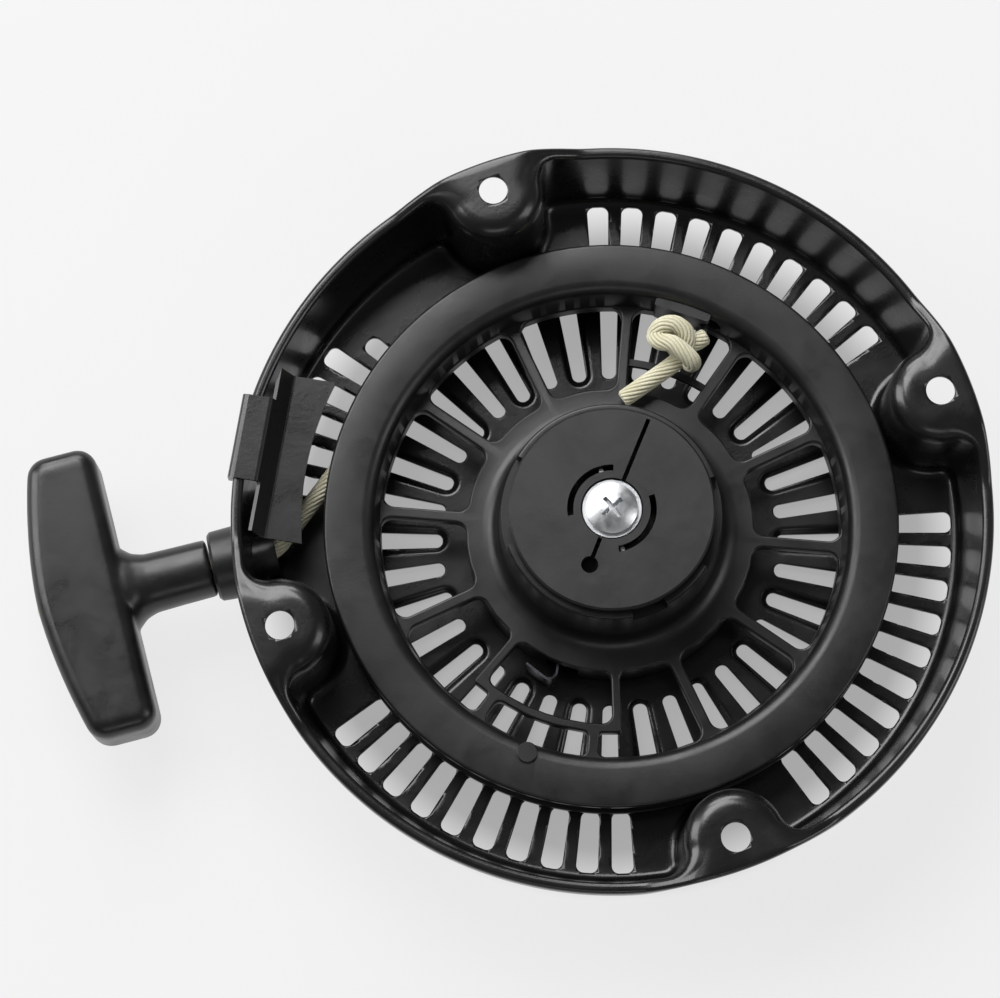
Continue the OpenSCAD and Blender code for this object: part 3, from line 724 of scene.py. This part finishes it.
def rope_reel(mat):
    """Drum, web and hub of the reel as one closed mesh."""
    drum = revolved("reel", fillet_profile(
        [(DRUM_IN - 0.3, -31.8), (75, -31.8), (75, -29.6), (64.4, -29.6), (64.4, -19.4), (75, -19.4),
         (75, -17.2), (62.2, -17.2)],
        [0.4, 0.6, 0.5, 0.6, 0.6, 0.5, 0.9, 3.4]), mat)
    near, far = 29.5, DRUM_IN + 1.5
    plate = revolved("plate", fillet_profile(
        [(near, WEB_LOW), (far, WEB_LOW), (far, WEB_Z), (near, WEB_Z)], [0.05] * 4, 1), mat)
    cut(plate, rounded_cut("pockets", web_pockets(), WEB_Z, WEB_LOW - 3, 0.55, mat))
    hub = revolved("hub", fillet_profile(
        [(25.7, -4.6), (28.3, -4.6), (29.6, WEB_Z), (37.9, WEB_Z), (38, -41.3), (35.8, -41.3), (35.8, -29.7),
         (26.7, -29.7), (26.7, -12), (9.2, -12), (9.2, -29.7), (6.55, -29.7), (6.55, -8.3), (9.2, -8.3),
         (9.2, -9.7), (25.7, -9.7)],
        [0.7, 0.7, 4.5, 0.7, 0.4, 0.4, 0.5, 0.5, 0.5, 0.5, 0.4, 0.3, 0.4, 0.4, 0.5, 0.6]), mat)
    windows = []
    for start, end, depth in (*RATCHET_WINDOWS, HUB_NOTCH):
        windows.append((ring_sector(23.5, 31.0, start, end, 12), -4.5 - depth, -3.0))
    windows.append((ring_sector(35.0, 39.5, *SPRING_NOTCH, 6), -42.5, WEB_Z + 0.5))
    cut(hub, prisms("windows", windows, mat))
    for other in (plate, hub):
        cut(drum, other, "UNION")
    extras = [box_solid("anchor", mat, (4.0, 15.0, 12.0), (61.6, -25.3), 71.6)]
    for angle in PIN_ANGLES:
        pin = ring_arc(PIN_R, 0, 350, 35)
        pin = np.array(pin) + polar(PIN_ORBIT, angle)
        extras.append(lofted("pin", [at_height(pin, -10.2), at_height(pin, -4.9),
                                     at_height(grown(pin, -0.3), -4.6)], mat))
    nub = np.array(ring_arc(2.7, 0, 350, 35)) + polar(64.6, 250.4)
    extras.append(lofted("nub", [at_height(nub, -18.5), at_height(nub, -16.75),
                                 at_height(grown(nub, -0.25), -16.55)], mat))
    low_arc = ring_sector(45.1, 46.9, 54, 87, 12)
    extras.append(lofted("low_arc", [at_height(low_arc, -31.0), at_height(low_arc, -29.0)], mat))
    for other in extras:
        cut(drum, other, "UNION")
    bore = tube_mesh("bore", [(*polar(r, ROPE_HOLE), ROPE_Z) for r in (48, 66)], 2.65, mat)
    cut(drum, bore)
    shade(drum, 38.0)
    return drum


# ---------------------------------------------------------------- rope
ROPE_R = 2.3
LAY = 28.0
STRANDS = 12
ROPE_Z = -24.5
PULL = 195.0
MOUTH = (-104.1, -11.0)
TRAVEL = 932.7
STEM = 12.0
ROPE_END = 38.5
WOUND_R = 66.8
UPPER_TURN = 2.0
LOWER_TURN = -2.75
LEAVING = 233.6
END_TAPER = {0: 0.72, 1: 0.93}


def frames(points):
    """Unit tangent and two normals along a path, turned as little as possible."""
    tangent = np.gradient(points, axis=0)
    tangent /= np.linalg.norm(tangent, axis=1, keepdims=True)
    side = np.cross(tangent[0], (0.1, 0.2, 1.0))
    first, second = [], []
    for t in tangent:
        side = side - t * (side @ t)
        side /= np.linalg.norm(side)
        first.append(side)
        second.append(np.cross(t, side))
    return np.array(first), np.array(second)


def smooth_path(points, spacing):
    """A smooth curve through the points, sampled at even spacing."""
    points = np.asarray(points, float)
    padded = np.vstack([2 * points[0] - points[1], points, 2 * points[-1] - points[-2]])
    curve = []
    for k in range(1, len(padded) - 2):
        p0, p1, p2, p3 = padded[k - 1:k + 3]
        for t in np.linspace(0, 1, 24, endpoint=False):
            curve.append(0.5 * (2 * p1 + (p2 - p0) * t + (2 * p0 - 5 * p1 + 4 * p2 - p3) * t ** 2
                                + (3 * p1 - p0 - 3 * p2 + p3) * t ** 3))
    curve.append(points[-1])
    return resampled(np.array(curve), spacing)


def resampled(curve, spacing):
    """The same curve with points at even spacing along it."""
    steps = np.linalg.norm(np.diff(curve, axis=0), axis=1)
    length = np.concatenate([[0], np.cumsum(steps)])
    at = np.linspace(0, length[-1], max(2, int(length[-1] / spacing) + 1))
    return np.column_stack([np.interp(at, length, curve[:, k]) for k in range(3)])


def tube_mesh(name, points, radius, mat, sides=32):
    """A plain round tube along the points."""
    first, second = frames(np.asarray(points, float))
    turn = np.linspace(0, 2 * math.pi, sides, endpoint=False)
    rings = [p + radius * (np.outer(np.cos(turn), a) + np.outer(np.sin(turn), b))
             for p, a, b in zip(points, first, second)]
    return lofted(name, rings, mat)


def laid_rope(name, points, mat, twist=None, radius=ROPE_R, sides=60, closed_ends=True):
    """A laid rope along the points: fine strands that wind round it, as one closed mesh."""
    points = np.asarray(points, float)
    if twist is None:
        steps = np.linalg.norm(np.diff(points, axis=0), axis=1)
        twist = np.concatenate([[0], np.cumsum(steps)]) / LAY
    first, second = frames(points)
    turn = np.linspace(0, 1, sides, endpoint=False)
    groove = np.abs((turn * STRANDS) % 1.0 - 0.5) * 2
    profile = radius * (1 - 0.13 * groove ** 2.4)
    rings = []
    for k, (p, a, b) in enumerate(zip(points, first, second)):
        angle = 2 * math.pi * (turn + twist[k])
        r = profile
        if closed_ends:
            r = r * END_TAPER.get(min(k, len(points) - 1 - k), 1.0)
        rings.append(p + (r * np.cos(angle))[:, None] * a + (r * np.sin(angle))[:, None] * b)
    return lofted(name, rings, mat, 60.0)


def wound_turn(start, end, lift):
    """One turn of rope on the drum, between two angles and at one height."""
    turn = np.radians(np.arange(start, end, 0.6))
    height = np.full(len(turn), ROPE_Z + lift)
    return np.column_stack([WOUND_R * np.cos(turn), WOUND_R * np.sin(turn), height])


def leaving_line():
    """Tangent point of the rope on the reel and its direction there."""
    direction = np.array([*polar(1.0, LEAVING), 0.0])
    start = np.array([*(WOUND_R * np.array([direction[1], -direction[0]])), ROPE_Z + UPPER_TURN])
    return start, direction


def pull_rope(mat):
    """The rope's last turn on the reel, then through the guide and into the handle. The turn leaves the
    drum at the same place however far the reel has spun, so it stays with the cover. The part in the
    stem is laid tight, so that it has enough rows to reach the handle when it is pulled out."""
    start, direction = leaving_line()
    pull = np.array([*polar(1.0, PULL), 0.0])
    mouth = np.array([*MOUTH, ROPE_Z])
    across = np.array([-pull[1], pull[0]])
    reach = ((mouth - start)[:2] @ across) / (direction[:2] @ across)
    corner = start + direction * reach
    corner[2] = ROPE_Z
    flat = rounded([(*start[:2], 0), (*corner[:2], 7.6), (*mouth[:2], 0)], 10)
    path = [(x, y, ROPE_Z) for x, y in flat[:12]] + [tuple(mouth)]
    path = np.array(path)
    away = np.linalg.norm(path[:, :2] - start[:2], axis=1)
    path[:, 2] += UPPER_TURN * (1 - smoothstep(away / 34.0))
    free = np.vstack([wound_turn(-194.0, 143.0, UPPER_TURN), resampled(path, 0.45)])
    final = np.linspace(0, TRAVEL + STEM, 760)[1:]
    q = np.linspace(0, 1, 4001)
    along = np.interp(final, q * STEM + TRAVEL * smoothstep(q), q) * STEM
    stretch = mouth + np.outer(along, pull)
    inside = np.linspace(STEM + 0.5, ROPE_END, 50)
    points = np.vstack([free, stretch, mouth + np.outer(inside, pull)])
    length = np.concatenate([[0], np.cumsum(np.linalg.norm(np.diff(free, axis=0), axis=1))])
    twist = np.concatenate([length, length[-1] + final, length[-1] + TRAVEL + inside]) / LAY
    obj = laid_rope("pull_rope", points, mat, twist, closed_ends=False, sides=60)
    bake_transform(obj)
    return obj


def wound_rope(mat):
    """The first turn, which is fixed to the drum and spins with it."""
    turn = wound_turn(float(ROPE_HOLE), ROPE_HOLE + 359.0, LOWER_TURN)
    return laid_rope("wound_rope", turn, mat, sides=30)


KNOT_CENTRE = (15.4, 47.6, -20.5)
KNOT_PATH = [
    (-12.2, -13.4, -3.6), (-8.6, -11.0, -3.0), (-4.6, -8.2, -2.6), (-0.6, -5.4, -2.4), (3.0, -2.4, -2.2),
    (4.8, 1.0, -1.2), (4.3, 4.2, 0.6), (1.3, 6.0, 1.6), (-2.0, 5.2, 1.6), (-3.6, 2.8, 1.0),
    (-2.2, 1.0, 2.2), (1.0, 0.0, 3.4), (4.2, -2.4, 3.0), (6.2, -4.2, 1.2), (5.6, -3.8, -1.8),
    (3.0, -0.6, -3.6), (0.6, 2.4, -2.0), (2.2, 2.8, -1.4), (6.0, 1.6, -2.4), (10.2, 3.8, -2.4),
]


def reel_knot(mat):
    """The overhand knot that holds the rope in the reel, and its cut tail."""
    points = smooth_path(np.array(KNOT_PATH) + KNOT_CENTRE, 0.4)
    return laid_rope("reel_knot", points, mat, radius=2.35)


# ---------------------------------------------------------------- handle
def in_handle(points):
    """From the handle's frame (along the pull, across, height) to the row frame."""
    a, b = polar(1.0, PULL), polar(1.0, PULL + 90)
    points = np.asarray(points, float)
    flat = np.array(MOUTH) + points[:, :1] * a + points[:, 1:2] * b
    return np.column_stack([flat, points[:, 2] + ROPE_Z])


def superellipse(width, height, power, count=48):
    """An outline between an ellipse (power 2) and a rectangle."""
    turn = np.linspace(0, 2 * math.pi, count, endpoint=False)
    c, s = np.cos(turn), np.sin(turn)
    return np.column_stack([np.sign(c) * np.abs(c) ** (2 / power) * width / 2,
                            np.sign(s) * np.abs(s) ** (2 / power) * height / 2])


def grip_bar(mat):
    """The bar of the T: a bowed outline with rounded edges above and below."""
    half, near, end, bow = 38.3, 22.9, 40.3, 6.3
    corners = [(near, -half, 5.0), (end, -half, 5.5)]
    for b in np.linspace(-0.8, 0.8, 17):
        corners.append((end + bow * (1 - abs(b) ** 1.7), half * b, 0))
    corners += [(end, half, 5.5), (near, half, 5.0)]
    outline = rounded(corners, 8)
    thick, edge = 10.2, 4.2
    rings = []
    for side in (-1, 1):
        for a in np.radians(np.linspace(90, 0, 8) if side < 0 else np.linspace(0, 90, 8)):
            ring = grown(outline, -edge * (1 - math.cos(a)))
            rings.append(in_handle(at_height(ring, side * (thick - edge + edge * math.sin(a)))))
    return lofted("handle", rings, mat)


def grip_stem(mat):
    """The stem of the T, which widens into the bar; (along the pull, width, height) stations."""
    rings = []
    for a, width, height in ((0.45, 14.2, 14.2), (0.9, 15.0, 15.0), (10, 15.2, 15.2), (17, 15.6, 15.6),
                             (20, 17.5, 16.6), (22.5, 22.0, 18.0), (25, 26.0, 18.6), (34, 20.0, 16.0)):
        shape = superellipse(width, height, 2.3)
        rings.append(in_handle(np.column_stack([np.full(len(shape), a), shape[:, 0], shape[:, 1]])))
    return lofted("stem", rings, mat)


def handle_grip(mat):
    """Bar and stem melted together, with the rope's bore and the knot's room."""
    bar = grip_bar(mat)
    cut(bar, grip_stem(mat), "UNION")
    remesh = bar.modifiers.new("blend", "REMESH")
    remesh.mode = "VOXEL"
    remesh.voxel_size = 0.6 * MM
    soften = bar.modifiers.new("soften", "SMOOTH")
    soften.factor = 0.5
    soften.iterations = 8
    apply_modifiers(bar)
    bar.data.materials.clear()
    bar.data.materials.append(mat)
    axis = in_handle([(-1, 0, 0), (52, 0, 0)])
    cut(bar, tube_mesh("bore", axis, 2.65, mat))
    room = in_handle([(38, 0, 0), (52, 0, 0)])
    cut(bar, tube_mesh("room", room, 5.7, mat))
    shade(bar, 40.0)
    return bar


# ---------------------------------------------------------------- build
paint_mat = paint("black_paint", (0.004, 0.004, 0.0045), (0.009, 0.009, 0.0095), 0.22, 0.38)
reel_mat = moulded("reel_nylon", (0.004, 0.004, 0.0045), (0.011, 0.011, 0.0115), 0.30, 0.46)
guide_mat = moulded("guide_nylon", (0.008, 0.008, 0.0085), (0.020, 0.020, 0.021), 0.34, 0.52)
grip_mat = moulded("grip_plastic", (0.004, 0.004, 0.0045), (0.010, 0.010, 0.0105), 0.26, 0.42, 900.0, 0.10)
bush_mat = moulded("bush_nylon", (0.004, 0.004, 0.0045), (0.009, 0.009, 0.0095), 0.30, 0.46)
zinc_mat = metal("bright_zinc", (0.80, 0.81, 0.83), (0.62, 0.64, 0.66), 0.28, 0.46)
steel_mat = metal("dull_steel", (0.45, 0.45, 0.46), (0.26, 0.26, 0.27), 0.28, 0.5)
spring_mat = metal("spring_steel", (0.10, 0.10, 0.11), (0.035, 0.035, 0.04), 0.28, 0.5)
rope_mat = rope_fibre("cream_rope")
floor_mat = floor_with_painted_shadow("pale_floor")

cover = pressed_cover(paint_mat)
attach(cover, "case")
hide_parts("case")

reel = rope_reel(reel_mat)
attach(reel, "reel")
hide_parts("reel_drum", "reel_web", "reel_ring", "reel_hub")

rope = pull_rope(rope_mat)
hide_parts("rope_run", "handle_rope")

turns = wound_rope(rope_mat)
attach(turns, "reel")
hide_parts("rope_wound")

knot = reel_knot(rope_mat)
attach(knot, "reel")
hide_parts("reel_knot", "rope_tail")

grip = handle_grip(grip_mat)
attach(grip, "handle")
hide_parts("handle_grip")

CAD_LOOKS = {
    "center_post": steel_mat,
    "rope_guide": bush_mat,
    "rope_guard": paint_mat,
    "spiral_spring": spring_mat,
    "ratchet_a": zinc_mat,
    "ratchet_b": zinc_mat,
    "friction_spring": zinc_mat,
    "ratchet_guide": guide_mat,
    "screw_washer": zinc_mat,
    "guide_screw": zinc_mat,
    "handle_knot": rope_mat,
    "knot_washer": zinc_mat,
}
for name, mat in CAD_LOOKS.items():
    for slot in nodes[name].material_slots:
        slot.material = mat
for name in ("rope_guard", "rope_guide", "ratchet_guide", "guide_screw", "screw_washer"):
    bevel = nodes[name].modifiers.new("worn_edges", "BEVEL")
    bevel.width = 0.25 * MM
    bevel.segments = 2
    bevel.limit_method = "ANGLE"
    bevel.angle_limit = math.radians(35.0)

add_camera()
add_world(0.10)
add_area("sky_soft", (-0.45, 0.95, 1.40), (1.1, 0.9), 23.0)
add_area("back_soft", (-0.30, 1.40, 0.75), (1.1, 0.5), 12.0)
add_area("left_soft", (-1.30, 0.30, 0.75), (0.7, 1.2), 14.0)
add_area("right_soft", (1.25, -0.25, 0.85), (0.5, 1.0), 4.5)
add_area("front_soft", (0.1, -1.3, 0.9), (1.0, 0.4), 1.8)

FLOOR_HALF = 4000.0
corners = [(x * FLOOR_HALF, y * FLOOR_HALF, FLOOR_Z) for x, y in ((-1, -1), (1, -1), (1, 1), (-1, 1))]
ground = mesh_object("floor", corners, [(0, 1, 2, 3)], floor_mat)
bpy.context.scene.view_settings.view_transform = "Standard"
